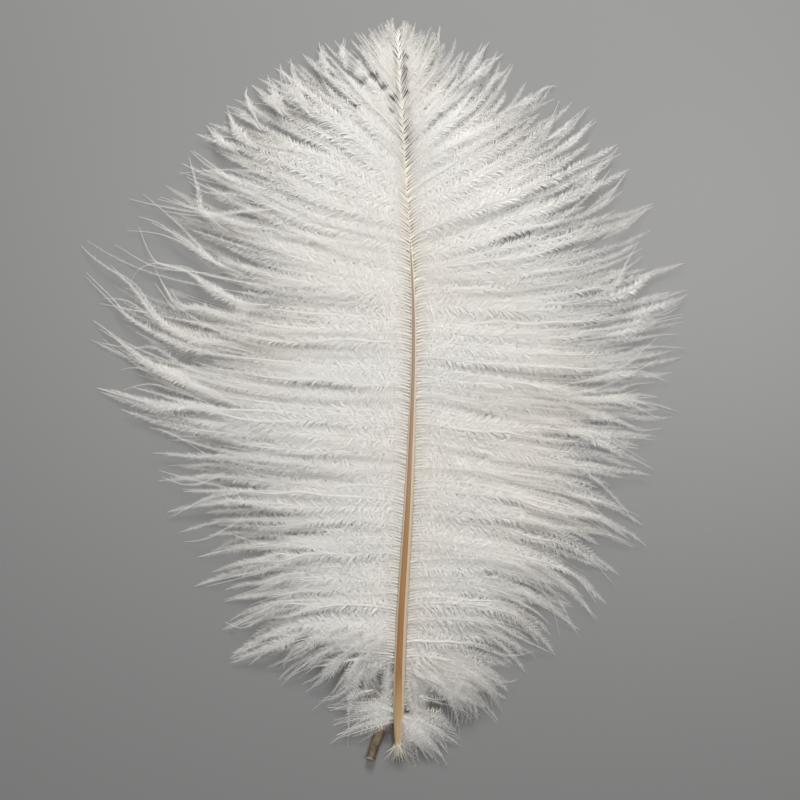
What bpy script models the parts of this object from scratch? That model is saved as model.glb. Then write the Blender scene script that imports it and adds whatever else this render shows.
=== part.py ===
# White ostrich feather, lying flat: one grown piece, so one solid.
# Metres, +Z up. The quill's root is at -Y and the tip of the plume at +Y.
# The origin is at the bottom centre of the feather's box, so the feather rests on Z = 0.
import math
import random

import bmesh
import bpy
from mathutils import Vector

MM = 0.001

# Driving dimensions
FEATHER_LENGTH = 300 * MM   # lowest tuft to highest tip
SHAFT_RISE = 10.5 * MM      # height of the shaft's centre line at its highest
ARCH_SKEW = 0.75            # under 1 puts the arch's top nearer to the root
ARCH_FULLNESS = 0.8         # under 1 makes the arch flatter on top
LOCK_THICKNESS = 4.8 * MM   # from ridge to underside, near the shaft
RIDGE_SHARE = 0.6           # how much of the thickness is above the lock's centre line
BODY_FADE = 0.55            # how a lock thins to its tip: 1 is an even taper
BODY_START = 0.1            # share of the full thickness at the shaft, and how fast it fills
BODY_GROWTH = 4
EDGE_THICKNESS = 0.7 * MM   # between two locks, at the shaft
EDGE_THINNING = 0.7         # share of it that is lost at the tips
TUFT_LIFT = 5.2 * MM        # how far a lock rises between the shaft and its tip
LIFT_FADE = 0.6             # over 0 puts the top of that rise nearer to the shaft
ROOT_FADE = 1.3             # how a lock comes down from the shaft: 1 is a straight slope
SEED = 11

HALF_LENGTH = FEATHER_LENGTH / 2

# Shaft: centre line seen from above, as (x, y) in millimetres, from the root to the tip
SHAFT_LINE = [(5.4, -146), (6.4, -99), (10.0, -35), (11.8, 29), (8.4, 93), (5.4, 146)]
# and its width at y, both in millimetres
SHAFT_WIDTH = [(-146, 1.2), (-135, 2.6), (-124, 3.6), (-90, 3.4), (-45, 2.9), (5, 2.2),
               (55, 1.5), (105, 0.9), (146, 0.4)]
SHAFT_HEIGHT_TO_WIDTH = 0.85
VANE_START = -133 * MM
VANE_END = 144 * MM
SHAFT_STEPS = 26

# Half of the shaft's section as (across, up), in shares of its width and height:
# keel, flank, shoulder, and the raised strip along the top
SHAFT_SECTION = [(0.0, -0.5), (0.34, -0.38), (0.5, 0.0), (0.42, 0.26), (0.25, 0.34),
                 (0.2, 0.46), (0.0, 0.5)]

# Split root beside the quill: (x, y, z, width) in millimetres, from the quill outwards
SPLIT_ROOT = [(6.2, -115, 7.8, 1.6), (5.0, -122, 5.0, 2.6), (2.4, -129, 2.9, 3.0),
              (-0.6, -135.5, 1.9, 3.2), (-3.0, -141.0, 1.7, 3.2), (-5.6, -146.4, 1.7, 3.0)]
SPLIT_ROOT_SIDES = 8

# Locks of each side, from the root to the crown: (tip x, tip y) in millimetres, and the slope
# at which the lock leaves the shaft, in degrees, where 90 points at the feather's tip
LEFT_LOCKS = [
    (-13, -142.5, -45), (-19.6, -138, -30), (-20.5, -130.5, -25), (-29, -127.5, -25),
    (-41, -117.5, -12), (-61.5, -109, -3), (-65, -95.5, -2), (-64, -84, -3), (-76.4, -77, 0),
    (-75, -65, 2), (-82, -57, 3), (-86.8, -50, 4), (-90.4, -36, 4), (-92.4, -25, 4),
    (-92, -16, 3), (-105.6, -8, 3), (-114.8, 1, 2), (-117.2, 21.8, 3), (-116, 32, 4),
    (-121.6, 59, 6), (-107.6, 59, 6), (-99.2, 66.2, 6), (-101.2, 77.8, 7), (-88, 83, 9),
    (-81.6, 91, 12), (-79, 99.8, 15), (-70, 108.5, 20), (-61.5, 117, 24), (-53, 123.5, 28),
    (-46, 129, 34), (-39, 133, 40), (-32, 136.5, 46), (-25, 140.6, 49), (-18.5, 141.8, 50),
    (-12.4, 144.2, 50), (-8, 145.5, 52), (-3, 147.8, 55), (1.4, 150, 65)]
RIGHT_LOCKS = [
    (16, -148.6, -60), (25.6, -150, -52), (31, -141.4, -45), (37, -137, -40), (45.6, -132.2, -36),
    (49, -124, -34), (50, -119, -35), (57, -112, -36), (68.4, -105.8, -30), (78, -97, -26),
    (85, -92, -25), (90, -84, -23), (94, -75, -20), (105.2, -61.4, -15), (104, -50, -13),
    (107, -34, -11), (109, -19, -9), (118, -7.4, -9), (114, 4.6, -10), (121.6, 17.8, -8),
    (120, 29, -6), (121.6, 39.8, -5), (120.4, 51.8, -3), (107, 66, 0), (108.5, 75, 3),
    (98, 90.2, 10), (93.6, 99, 17), (85.2, 108.6, 21), (76, 116, 25), (67.2, 123, 30),
    (54, 130, 40), (46, 137, 50), (40, 140.6, 54), (30, 141.5, 58), (23, 147, 60),
    (18.8, 147, 60), (12.8, 148.6, 65), (9, 149.5, 70)]
LOCKS_PER_SIDE = len(LEFT_LOCKS)

# Places along a lock, as shares of its length, where it has a section
LOCK_STATIONS = [0.0, 0.12, 0.3, 0.47, 0.6, 0.71, 0.81, 0.91, 1.0]
EARLIEST_SPLIT = 4          # station where two locks may part from each other
LATEST_SPLIT = 6
WISP_BAND = (0 * MM, 55 * MM)  # root y of the long wisps on the left, which part early
CROWN_START = 60 * MM       # root y past which the locks stay together for longer
TIP_HEIGHTS = [-4.0 * MM, -4.0 * MM, -2.0 * MM, 0.6 * MM, 3.0 * MM]  # below 0 lies on the table
RIDGE_RANGE = (0.75, 1.2)   # how much higher or lower one lock's ridge is than another's
ROOT_DROP = 0.12            # how far below the shaft's centre a vane starts, in shaft widths
WIDEST_TUFT = 9.0 * MM      # a lock's width where it parts from its neighbours
TAPER = 1.25                # how a parted lock narrows to its tip: 1 is a straight taper
FULL_LENGTH = 60 * MM       # locks shorter than this are thinner in proportion


def between(table, value):
    """The row of the table at value, in a straight line between its neighbours."""
    rows = sorted(table)
    if value <= rows[0][0]:
        return rows[0][1:]
    for low, high in zip(rows, rows[1:]):
        if value <= high[0]:
            share = (value - low[0]) / (high[0] - low[0])
            return tuple(a + (b - a) * share for a, b in zip(low[1:], high[1:]))
    return rows[-1][1:]


def smooth_between(points, value):
    """x at the given y, on a Catmull-Rom curve through the (x, y) points."""
    ys = [y for _, y in points]
    xs = [x for x, _ in points]
    last = len(points) - 2
    i = max(0, min(last, sum(value > y for y in ys) - 1))
    share = (value - ys[i]) / (ys[i + 1] - ys[i])
    x0, x1, x2, x3 = xs[max(i - 1, 0)], xs[i], xs[i + 1], xs[min(i + 2, last + 1)]
    return 0.5 * (2 * x1 + (x2 - x0) * share + (2 * x0 - 5 * x1 + 4 * x2 - x3) * share**2
                  + (3 * x1 - x0 - 3 * x2 + x3) * share**3)


def shaft_width(y):
    return between(SHAFT_WIDTH, y / MM)[0] * MM


def shaft_point(y):
    """Centre of the shaft at y: an arch that rests on the table at the root."""
    along = (y + HALF_LENGTH) / FEATHER_LENGTH
    ground = shaft_width(y) * SHAFT_HEIGHT_TO_WIDTH / 2
    arch = SHAFT_RISE * math.sin(math.pi * along**ARCH_SKEW) ** ARCH_FULLNESS if 0 < along < 1 else 0.0
    return Vector((smooth_between(SHAFT_LINE, y / MM) * MM, y, ground + arch))


def lock_plan(rows, rng, wisps):
    """Root, tip, bow, tip height and split station of every lock on one side."""
    locks = []
    for i, (tip_x, tip_y, slope) in enumerate(rows):
        root = VANE_START + (VANE_END - VANE_START) * (i + 0.5) / LOCKS_PER_SIDE
        start = shaft_point(root)
        start.z -= shaft_width(root) * ROOT_DROP
        run = Vector((tip_x * MM - start.x, tip_y * MM - start.y, 0))
        chord = math.atan2(run.y, abs(run.x))
        bow = run.length * math.tan(math.radians(slope) - chord) / 4
        split = rng.randint(EARLIEST_SPLIT + (root > CROWN_START), LATEST_SPLIT)
        if wisps[0] <= root <= wisps[1]:
            split = EARLIEST_SPLIT
        locks.append(dict(start=start, run=run, bow=bow, height=rng.choice(TIP_HEIGHTS), split=split,
                          ridge=rng.uniform(*RIDGE_RANGE), fullness=min(1.0, run.length / FULL_LENGTH)))
    return locks


def lock_point(lock, share):
    """Centre line of a lock at a share of its length: an arc seen from above, humped and drooping."""
    start, run = lock["start"], lock["run"]
    across = Vector((-run.y, run.x, 0)).normalized() * (1 if run.x >= 0 else -1)
    hump = 4 * share * (1 - share)
    point = Vector((start.x, start.y, 0)) + run * share + across * lock["bow"] * hump
    lift = TUFT_LIFT * lock["fullness"] * hump * (1 - share) ** LIFT_FADE
    point.z = start.z * (1 - share) ** ROOT_FADE + lift + lock["height"] * share**2
    return point


def section_sizes(share, lock):
    """Ridge height and depth below the centre line at a share of a lock's length."""
    filled = min(1.0, BODY_START + share * BODY_GROWTH)
    body = LOCK_THICKNESS * (1 - share) ** BODY_FADE * filled * lock["fullness"]
    return body * RIDGE_SHARE * lock["ridge"], body * (1 - RIDGE_SHARE)


def edge_pair(mesh, point, share):
    """Top and bottom points of a lock's edge, kept on or above the table."""
    half = EDGE_THICKNESS / 2 * (1 - share * EDGE_THINNING)
    low = max(0.0, point.z - half)
    return (mesh.verts.new((point.x, point.y, low + 2 * half)),
            mesh.verts.new((point.x, point.y, low)))


def ridge_pair(mesh, lock, share):
    """Top and bottom points on a lock's centre line."""
    point = lock_point(lock, share)
    up, down = section_sizes(share, lock)
    low = max(0.0, point.z - down)
    high = max(low + 2 * EDGE_THICKNESS * (1 - share), point.z + up)
    return mesh.verts.new((point.x, point.y, high)), mesh.verts.new((point.x, point.y, low))


def build_vanes():
    """Both vanes as one closed sheet of locks, joined along the shaft."""
    mesh = bmesh.new()
    rng = random.Random(SEED)
    count, last = LOCKS_PER_SIDE, len(LOCK_STATIONS) - 1
    sides = [lock_plan(LEFT_LOCKS, rng, WISP_BAND), lock_plan(RIGHT_LOCKS, rng, (1, 1))]
    step = (VANE_END - VANE_START) / count
    seams = [edge_pair(mesh, shaft_point(VANE_START + step * j), 0) for j in range(count + 1)]
    spines = [ridge_pair(mesh, lock, 0) for lock in sides[0]]
    for locks in sides:
        build_side(mesh, locks, seams, spines, last)
    bmesh.ops.recalc_face_normals(mesh, faces=mesh.faces)
    return mesh


def build_side(mesh, locks, seams, spines, last):
    """One vane: locks side by side, sharing their edges as far as they part."""
    count = len(locks)
    splits = [0] + [min(a["split"], b["split"]) for a, b in zip(locks, locks[1:])] + [0]
    shared = {}
    for j in range(1, count):
        for k in range(1, splits[j] + 1):
            share = LOCK_STATIONS[k]
            middle = (lock_point(locks[j - 1], share) + lock_point(locks[j], share)) / 2
            shared[j, k] = edge_pair(mesh, middle, share)

    def free_edge(i, k, towards):
        share = LOCK_STATIONS[k]
        parting = LOCK_STATIONS[splits[i + (towards > 0)]]
        here = lock_point(locks[i], share)
        if i + towards == count:
            gap = Vector((seams[-1][0].co.x - here.x, 0))
        elif i + towards < 0:
            gap = here.xy - lock_point(locks[1], share).xy
        else:
            gap = lock_point(locks[i + towards], share).xy - here.xy
        half = min(gap.length / 2, WIDEST_TUFT / 2) * ((1 - share) / (1 - parting)) ** TAPER
        sideways = gap.normalized() * half
        return edge_pair(mesh, here + Vector((*sideways, 0)), share)

    rows = []
    for i in range(count):
        row = []
        for k in range(1, last):
            lower = shared.get((i, k)) or free_edge(i, k, -1)
            upper = shared.get((i + 1, k)) or free_edge(i, k, 1)
            middle = ridge_pair(mesh, locks[i], LOCK_STATIONS[k])
            row.append((lower, middle, upper))
        rows.append([(seams[i], spines[i], seams[i + 1])] + row)
    for i, row in enumerate(rows):
        for k, (near, far) in enumerate(zip(row, row[1:])):
            skin_span(mesh, near, far, k + 1 > splits[i], k + 1 > splits[i + 1])
        tip = lock_point(locks[i], 1)
        tip.z = max(tip.z, EDGE_THICKNESS / 4)
        close_tip(mesh, row[-1], mesh.verts.new(tip))


def skin_span(mesh, near, far, lower_free, upper_free):
    """Faces of one lock between two of its sections."""
    for a, b in ((0, 1), (1, 2)):
        mesh.faces.new((near[a][0], near[b][0], far[b][0], far[a][0]))
        mesh.faces.new((near[b][1], near[a][1], far[a][1], far[b][1]))
    if lower_free:
        mesh.faces.new((near[0][1], near[0][0], far[0][0], far[0][1]))
    if upper_free:
        mesh.faces.new((near[2][0], near[2][1], far[2][1], far[2][0]))


def close_tip(mesh, section, tip):
    """Draws the last section of a lock to a point."""
    (lower_top, lower_bottom), (ridge, keel), (upper_top, upper_bottom) = section
    ring = [lower_bottom, lower_top, ridge, upper_top, upper_bottom, keel]
    for a, b in zip(ring, ring[1:] + ring[:1]):
        mesh.faces.new((a, b, tip))


def bridge_rings(mesh, rings):
    """Closes a row of rings of points into a tube with flat ends."""
    for near, far in zip(rings, rings[1:]):
        for a in range(len(near)):
            b = (a + 1) % len(near)
            mesh.faces.new((near[a], near[b], far[b], far[a]))
    mesh.faces.new(rings[0])
    mesh.faces.new(rings[-1])
    bmesh.ops.recalc_face_normals(mesh, faces=mesh.faces)


def build_shaft():
    """Quill and shaft: a tapering bar with shoulders and a raised strip on top."""
    mesh = bmesh.new()
    section = SHAFT_SECTION + [(-x, z) for x, z in reversed(SHAFT_SECTION[1:-1])]
    first, final = SHAFT_LINE[0][1] * MM, SHAFT_LINE[-1][1] * MM
    rings = []
    for step in range(SHAFT_STEPS + 1):
        y = first + (final - first) * step / SHAFT_STEPS
        centre, width = shaft_point(y), shaft_width(y)
        height = width * SHAFT_HEIGHT_TO_WIDTH
        rings.append([mesh.verts.new((centre.x + width * x, y, centre.z + height * z))
                      for x, z in section])
    bridge_rings(mesh, rings)
    return mesh


def build_split_root():
    """Short brown root that leaves the quill to the left and ends in a cut."""
    mesh = bmesh.new()
    centres = [Vector(row[:3]) * MM for row in SPLIT_ROOT]
    rings = []
    for i, (centre, row) in enumerate(zip(centres, SPLIT_ROOT)):
        ahead = (centres[min(i + 1, len(centres) - 1)] - centres[max(i - 1, 0)]).normalized()
        across = ahead.cross(Vector((0, 0, 1))).normalized()
        up = across.cross(ahead)
        ring = []
        for side in range(SPLIT_ROOT_SIDES):
            angle = 2 * math.pi * (side + 0.5) / SPLIT_ROOT_SIDES
            offset = across * math.cos(angle) + up * math.sin(angle)
            ring.append(mesh.verts.new(centre + offset * row[3] * MM / 2))
        rings.append(ring)
    bridge_rings(mesh, rings)
    return mesh


def add_object(name, mesh, material=None):
    data = bpy.data.meshes.new(name)
    mesh.to_mesh(data)
    mesh.free()
    if material:
        data.materials.append(material)
    thing = bpy.data.objects.new(name, data)
    bpy.context.collection.objects.link(thing)
    return thing


def keratin_material():
    """Warm white of a washed and bleached plume."""
    material = bpy.data.materials.new("plume_keratin")
    material.use_nodes = True
    shader = material.node_tree.nodes["Principled BSDF"]
    shader.inputs["Base Color"].default_value = (0.80, 0.775, 0.74, 1)
    shader.inputs["Roughness"].default_value = 0.75
    shader.inputs["Metallic"].default_value = 0.0
    return material


def fuse(feather, others):
    for other in others:
        other.hide_render = True
        other.display_type = "WIRE"
        union = feather.modifiers.new(f"fused_{other.name}", "BOOLEAN")
        union.operation = "UNION"
        union.solver = "EXACT"
        union.object = other


for thing in list(bpy.data.objects):
    bpy.data.objects.remove(thing, do_unlink=True)

feather = add_object("ostrich_feather", build_vanes(), keratin_material())
fuse(feather, [add_object("shaft", build_shaft()), add_object("split_root", build_split_root())])
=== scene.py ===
import math
import random

import bpy
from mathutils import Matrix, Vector


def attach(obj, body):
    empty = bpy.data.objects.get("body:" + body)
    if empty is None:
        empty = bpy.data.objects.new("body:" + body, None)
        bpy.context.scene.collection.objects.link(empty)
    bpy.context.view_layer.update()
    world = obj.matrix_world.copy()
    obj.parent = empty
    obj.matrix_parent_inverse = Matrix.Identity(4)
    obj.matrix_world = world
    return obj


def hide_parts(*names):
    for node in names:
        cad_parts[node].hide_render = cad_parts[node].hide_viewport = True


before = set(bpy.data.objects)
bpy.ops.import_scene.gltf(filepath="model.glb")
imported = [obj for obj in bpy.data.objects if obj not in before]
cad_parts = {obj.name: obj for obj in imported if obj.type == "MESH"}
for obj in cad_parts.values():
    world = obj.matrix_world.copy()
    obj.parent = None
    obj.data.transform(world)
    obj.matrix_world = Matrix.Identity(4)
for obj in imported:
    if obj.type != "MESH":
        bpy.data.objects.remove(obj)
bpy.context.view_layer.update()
print("frame loaded")

mm = 0.001
planSize = 320 * mm  # the square, seen from above, that the UV map of every piece covers

# The feather as a whole: its root is at -Y and its tip at +Y
feather = {
    "length": 300 * mm,
    "shaftRise": 10.5 * mm,  # how high the shaft arches over the table
    "archSkew": 0.75,  # under 1 brings the top of the arch nearer to the root
    "archRound": 0.8,
    "heightToWidth": 0.85,  # of the shaft's section
    "vaneStart": -133 * mm,
    "vaneEnd": 144 * mm,
    "tuftLift": 5.2 * mm,  # how far a lock bulges up on its way out
    "liftSkew": 0.6,
    "fall": 1.3,
    "fullLength": 60 * mm,  # shorter locks are thinner in proportion
    "tipHeights": [-4.0 * mm, -4.0 * mm, -2.0 * mm, 0.6 * mm, 3.0 * mm],
    "downBand": (-132 * mm, -108 * mm),  # root y between which down gives way to the vane
    "crownBand": (76 * mm, 104 * mm),  # and between which the barbs' roots get thin and bare
    "covered": (48 * mm, 72 * mm),  # and between which the barbs rise to hide the shaft
    "rootDrop": 0.12,  # how far below the shaft's centre they start, in shaft widths
    "coverRise": 0.6,  # and above it where they hide the shaft
}

# Shaft from above as (x, y), and its width as (y, width), in millimetres
shaftLine = [(5.4, -146), (6.4, -99), (10.0, -35), (11.8, 29), (8.4, 93), (5.4, 146)]
shaftWidths = [(-146, 1.2), (-135, 2.6), (-124, 3.6), (-90, 3.4), (-45, 2.9), (5, 2.2),
               (55, 1.5), (105, 0.9), (146, 0.4)]

# Tips of the locks of each side, from the root to the crown, as (x, y) in millimetres
leftTips = [
    (-13, -142.5), (-19.6, -138), (-20.5, -130.5), (-29, -127.5), (-41, -117.5), (-61.5, -109),
    (-65, -95.5), (-64, -84), (-76.4, -77), (-75, -65), (-82, -57), (-86.8, -50), (-90.4, -36),
    (-92.4, -25), (-92, -16), (-105.6, -8), (-114.8, 1), (-117.2, 21.8), (-116, 32), (-121.6, 59),
    (-107.6, 59), (-99.2, 66.2), (-101.2, 77.8), (-88, 83), (-81.6, 91), (-79, 99.8), (-70, 108.5),
    (-61.5, 117), (-53, 123.5), (-46, 129), (-39, 133), (-32, 136.5), (-25, 140.6), (-18.5, 141.8),
    (-12.4, 144.2), (-8, 145.5), (-3, 147.8), (1.4, 150)]
rightTips = [
    (16, -148.6), (25.6, -150), (31, -141.4), (37, -137), (45.6, -132.2), (49, -124), (50, -119),
    (57, -112), (68.4, -105.8), (78, -97), (85, -92), (90, -84), (94, -75), (105.2, -61.4), (104, -50),
    (107, -34), (109, -19), (118, -7.4), (114, 4.6), (121.6, 17.8), (120, 29), (121.6, 39.8),
    (120.4, 51.8), (107, 66), (108.5, 75), (98, 90.2), (93.6, 99), (85.2, 108.6), (76, 116), (67.2, 123),
    (54, 130), (46, 137), (40, 140.6), (30, 141.5), (23, 147), (18.8, 147), (12.8, 148.6), (9, 149.5)]

# Where a barb runs to: (root y, number of the lock's tip, slope at which it leaves the shaft), in
# millimetres and in degrees, where 90 points at the feather's tip
leftFlow = [
    (-122, 3, -5), (-105, 4.2, 2), (-91, 5.3, 4), (-77, 7, 2), (-63, 8.8, 4), (-49, 11, 6), (-35, 13.3, 8),
    (-21, 15.5, 3), (-7, 17, 3), (7, 18, 3), (21, 18.7, 0), (30, 20.5, 5), (35, 22, 9), (49, 23, 11),
    (63, 24.5, 18), (72, 26, 28), (80, 28, 40), (90, 30.2, 46), (105, 32.5, 52), (120, 34.5, 56),
    (144, 37.5, 65)]
rightFlow = [
    (-122, 3.5, -8), (-105, 6, 2), (-89, 8, 7), (-77, 9, 6), (-62, 10.5, -3), (-49, 12.3, -2),
    (-35, 13.3, -3), (-21, 14.7, -6), (-7, 16.3, -8), (7, 17.7, -8), (21, 19.7, -5), (35, 21.7, 0),
    (49, 24, 10), (63, 26.5, 22), (77, 28.6, 29), (91, 30.8, 38), (105, 32.8, 50), (120, 34.8, 62),
    (144, 37.5, 70)]
sides = {"left": (leftTips, leftFlow), "right": (rightTips, rightFlow)}


def ramp(low, high, value):
    return max(0.0, min(1.0, (value - low) / (high - low)))


def smoothStep(low, high, value):
    share = ramp(low, high, value)
    return share * share * (3 - 2 * share)


def atLeast(least, share):
    return least + (1 - least) * share


def bump(centre, width, value):
    return math.exp(-((value - centre) / width) ** 2)


def between(table, value):
    # the rest of a table's row at any value of its first column
    rows = sorted(table)
    if value <= rows[0][0]:
        return rows[0][1:]
    for low, high in zip(rows, rows[1:]):
        if value <= high[0]:
            share = (value - low[0]) / (high[0] - low[0])
            return tuple(a + (b - a) * share for a, b in zip(low[1:], high[1:]))
    return rows[-1][1:]


def smoothSpan(knots, i, share):
    # the smooth curve through the knots, at a share of the way from knot i to the next
    last = len(knots) - 1
    p0, p1, p2, p3 = (knots[max(0, min(last, j))] for j in (i - 1, i, i + 1, i + 2))
    return (p1 * 2 + (p2 - p0) * share + (p0 * 2 - p1 * 5 + p2 * 4 - p3) * share**2
            + (p1 * 3 - p0 - p2 * 3 + p3) * share**3) * 0.5


def spanAt(knots, along):
    # number of the span, and share of it, at a share of the way along all of them
    spans = len(knots) - 1
    at = min(along * spans, spans - 1e-6)
    return int(at), at - int(at)


def shaftWidth(y):
    return between(shaftWidths, y / mm)[0] * mm


def shaftPoint(y):
    xs, ys = zip(*shaftLine)
    i = max(0, min(len(ys) - 2, sum(y / mm > knot for knot in ys) - 1))
    x = smoothSpan(xs, i, (y / mm - ys[i]) / (ys[i + 1] - ys[i])) * mm
    along = (y + feather["length"] / 2) / feather["length"]
    arch = 0.0
    if 0 < along < 1:
        arch = feather["shaftRise"] * math.sin(math.pi * along**feather["archSkew"]) ** feather["archRound"]
    return Vector((x, y, shaftWidth(y) * feather["heightToWidth"] / 2 + arch))


# A small class round a node's output, so that maths on it reads as Python
class Wire:
    def __init__(self, graph, socket):
        self.graph, self.socket = graph, socket

    def __getitem__(self, name):  # another output of the same node
        return Wire(self.graph, findSocket(self.socket.node.outputs, name))

    def maths(self, operation, *others):
        return self.graph.maths(operation, self, *others)

    def __add__(self, other):
        return self.maths("ADD", other)

    def __sub__(self, other):
        return self.maths("SUBTRACT", other)

    def __rsub__(self, other):
        return self.graph.maths("SUBTRACT", other, self)

    def __mul__(self, other):
        return self.maths("MULTIPLY", other)

    def __truediv__(self, other):
        return self.maths("DIVIDE", other)


def findSocket(sockets, key):
    if isinstance(key, int):
        return sockets[key]
    return next(s for s in sockets if s.name == key and not s.is_unavailable)


class Graph:
    def __init__(self, tree):
        self.tree = tree

    def add(self, kind, settings=None, values=None, out=None):
        node = self.tree.nodes.new(kind)
        for name, value in (settings or {}).items():
            setattr(node, name, value)
        pairs = values.items() if isinstance(values, dict) else enumerate(values or [])
        for key, value in pairs:
            self.join(value, findSocket(node.inputs, key))
        if not len(node.outputs):
            return node
        if out is None:
            out = next(i for i, s in enumerate(node.outputs) if not s.is_unavailable)
        return Wire(self, findSocket(node.outputs, out))

    def join(self, value, socket):
        if isinstance(value, list):
            for part in value:
                self.join(part, socket)
        elif isinstance(value, Wire):
            self.tree.links.new(value.socket, socket)
        else:
            socket.default_value = value

    def maths(self, operation, *values):
        return self.add("ShaderNodeMath", {"operation": operation}, values)

    def vector(self, *parts):
        return self.add("ShaderNodeCombineXYZ", None, parts)

    def split(self, vector):
        return self.add("ShaderNodeSeparateXYZ", None, [vector])

    def mix(self, factor, low, high):  # two colours
        return self.add("ShaderNodeMix", {"data_type": "RGBA"}, {0: factor, 6: low, 7: high}, 2)

    def fade(self, value, low, high):  # 0 at low and 1 at high
        return self.add("ShaderNodeMapRange", None, {"Value": value, "From Min": low, "From Max": high})

    def noise(self, place, scale, detail, out=None):
        values = {"Vector": place, "Scale": scale, "Detail": detail}
        return self.add("ShaderNodeTexNoise", None, values, out)

    def place(self):  # where on the piece a point lies
        return self.add("ShaderNodeTexCoord", None, None, "Object")

    def painted(self, name):  # a number stored on the surface
        return self.add("ShaderNodeAttribute", {"attribute_name": name}, None, "Fac")

    def measure(self, name):  # a number stored on the lines
        return self.add("GeometryNodeInputNamedAttribute", {"data_type": "FLOAT"}, {"Name": name})

    def chance(self, low, high, seed):
        return self.add("FunctionNodeRandomValue", {"data_type": "FLOAT"},
                        {"Min": low, "Max": high, "Seed": seed})


def newTree(name, sizes):
    tree = bpy.data.node_groups.new(name, "GeometryNodeTree")
    tree.interface.new_socket("Geometry", in_out="INPUT", socket_type="NodeSocketGeometry")
    tree.interface.new_socket("Geometry", in_out="OUTPUT", socket_type="NodeSocketGeometry")
    for label, kind in sizes.items():
        tree.interface.new_socket(label, in_out="INPUT", socket_type="NodeSocket" + kind)
    graph = Graph(tree)
    return graph, graph.add("NodeGroupInput")


def closeTree(graph, shape, material):
    shape = graph.add("GeometryNodeRealizeInstances", None, {"Geometry": shape})
    place = graph.split(graph.add("GeometryNodeInputPosition"))
    plan = graph.vector(place["X"] / planSize + 0.5, place["Y"] / planSize + 0.5, 0.0)
    shape = graph.add("GeometryNodeStoreNamedAttribute", {"data_type": "FLOAT2", "domain": "CORNER"},
                      {"Geometry": shape, "Name": "OFBake", "Value": plan})
    shape = graph.add("GeometryNodeSetMaterial", None, {"Geometry": shape, "Material": material})
    graph.add("NodeGroupOutput", None, {"Geometry": shape})
    return graph.tree


def levelCurve(graph, mesh, kind="POLY"):
    # lines of edges as curves whose sides stay level
    line = graph.add("GeometryNodeMeshToCurve", None, {"Mesh": mesh})
    line = graph.add("GeometryNodeCurveSplineType", {"spline_type": kind}, {"Curve": line})
    return graph.add("GeometryNodeSetCurveNormal", {"mode": "Z_UP"}, {"Curve": line})


def circle(graph, sides):
    return graph.add("GeometryNodeCurvePrimitiveCircle", None, {"Resolution": sides, "Radius": 1.0})


def tubeAlong(graph, line, section, size):
    # the section drawn along the line, as large as the number stored there
    return graph.add("GeometryNodeCurveToMesh", None, {
        "Curve": line, "Profile Curve": section, "Scale": graph.measure(size), "Fill Caps": True})


def smoothShaded(graph, shape):
    return graph.add("GeometryNodeSetShadeSmooth", None, {"Geometry": shape, "Shade Smooth": True})


def keptAbove(graph, shape, low):
    # points under the height low are eased to end above the table, never through it
    place = graph.split(graph.add("GeometryNodeInputPosition"))
    under = place["Z"] / low - 1.0
    isLow = place["Z"].maths("LESS_THAN", low)
    height = low * under.maths("EXPONENT") * isLow + place["Z"] * (1.0 - isLow)
    point = graph.vector(place["X"], place["Y"], height)
    return graph.add("GeometryNodeSetPosition", None, {"Geometry": shape, "Position": point})


def addObject(name, data):
    thing = bpy.data.objects.new(name, data)
    bpy.context.collection.objects.link(thing)
    return thing


def grow(name, source, tree, sizes):
    # runs the tree on the source object and keeps what comes out as a plain mesh
    modifier = source.modifiers.new(name, "NODES")
    modifier.node_group = tree
    for item in tree.interface.items_tree:
        if item.in_out == "INPUT" and item.name in sizes:
            modifier[item.identifier] = sizes[item.name]
    evaluated = bpy.context.evaluated_depsgraph_get()
    mesh = bpy.data.meshes.new_from_object(source.evaluated_get(evaluated), depsgraph=evaluated)
    source.modifiers.clear()
    mesh.name = name
    return addObject(name, mesh)


def lineObject(name, lines):
    # every line is a list of (point, measures), and becomes a chain of edges with those measures
    points, edges, measures = [], [], {}
    for line in lines:
        first = len(points)
        for point, values in line:
            points.append(point)
            for key, value in values.items():
                measures.setdefault(key, []).append(value)
        edges += [(i, i + 1) for i in range(first, len(points) - 1)]
    mesh = bpy.data.meshes.new(name)
    mesh.from_pydata(points, edges, [])
    for key, values in measures.items():
        mesh.attributes.new(key, "FLOAT", "POINT").data.foreach_set("value", values)
    return addObject(name, mesh)


def drop(thing):
    bpy.data.objects.remove(thing, do_unlink=True)


def makePiece(name, lines, tree, sizes):
    source = lineObject("lines", lines)
    piece = grow(name, source, tree, sizes)
    drop(source)
    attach(piece, "root")
    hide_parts("ostrich_feather")
    print(piece.name, sum(len(p.vertices) - 2 for p in piece.data.polygons), "triangles")


def linear(red, green, blue):
    # a colour as it looks, 0 to 255, as the light it sends back
    return (*(((c / 255 + 0.055) / 1.055) ** 2.4 for c in (red, green, blue)), 1)


def newMaterial(name):
    material = bpy.data.materials.new(name)
    material.use_nodes = True
    graph = Graph(material.node_tree)
    return material, graph, material.node_tree.nodes["Principled BSDF"]


def paint(graph, shader, colour, roughness):
    graph.join(colour, shader.inputs["Base Color"])
    graph.join(roughness, shader.inputs["Roughness"])


# Keratin of the barbs: near white, warm in patches, tinted by the shaft, and darkened by painted shade where
# they lie deep
keratin = {
    "white": (0.86, 0.855, 0.84, 1),
    "warm": (0.86, 0.835, 0.79, 1),
    "root": (0.76, 0.70, 0.60, 1),
    "rootShare": 0.85,
    # painted shade: the dark brown that barbs lying deep are mixed towards
    "dusk": (0.24, 0.19, 0.14, 1),
    "patches": 22.0,  # scale of the warm patches, and of the fibres below
    "patchLevel": 0.4,
    "patchContrast": 2.2,
    "fibres": 900.0,
    "roughness": 0.52,
    "roughnessSpan": 0.2,
    "specular": 0.3,
    "sheen": 0.15,
}


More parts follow.
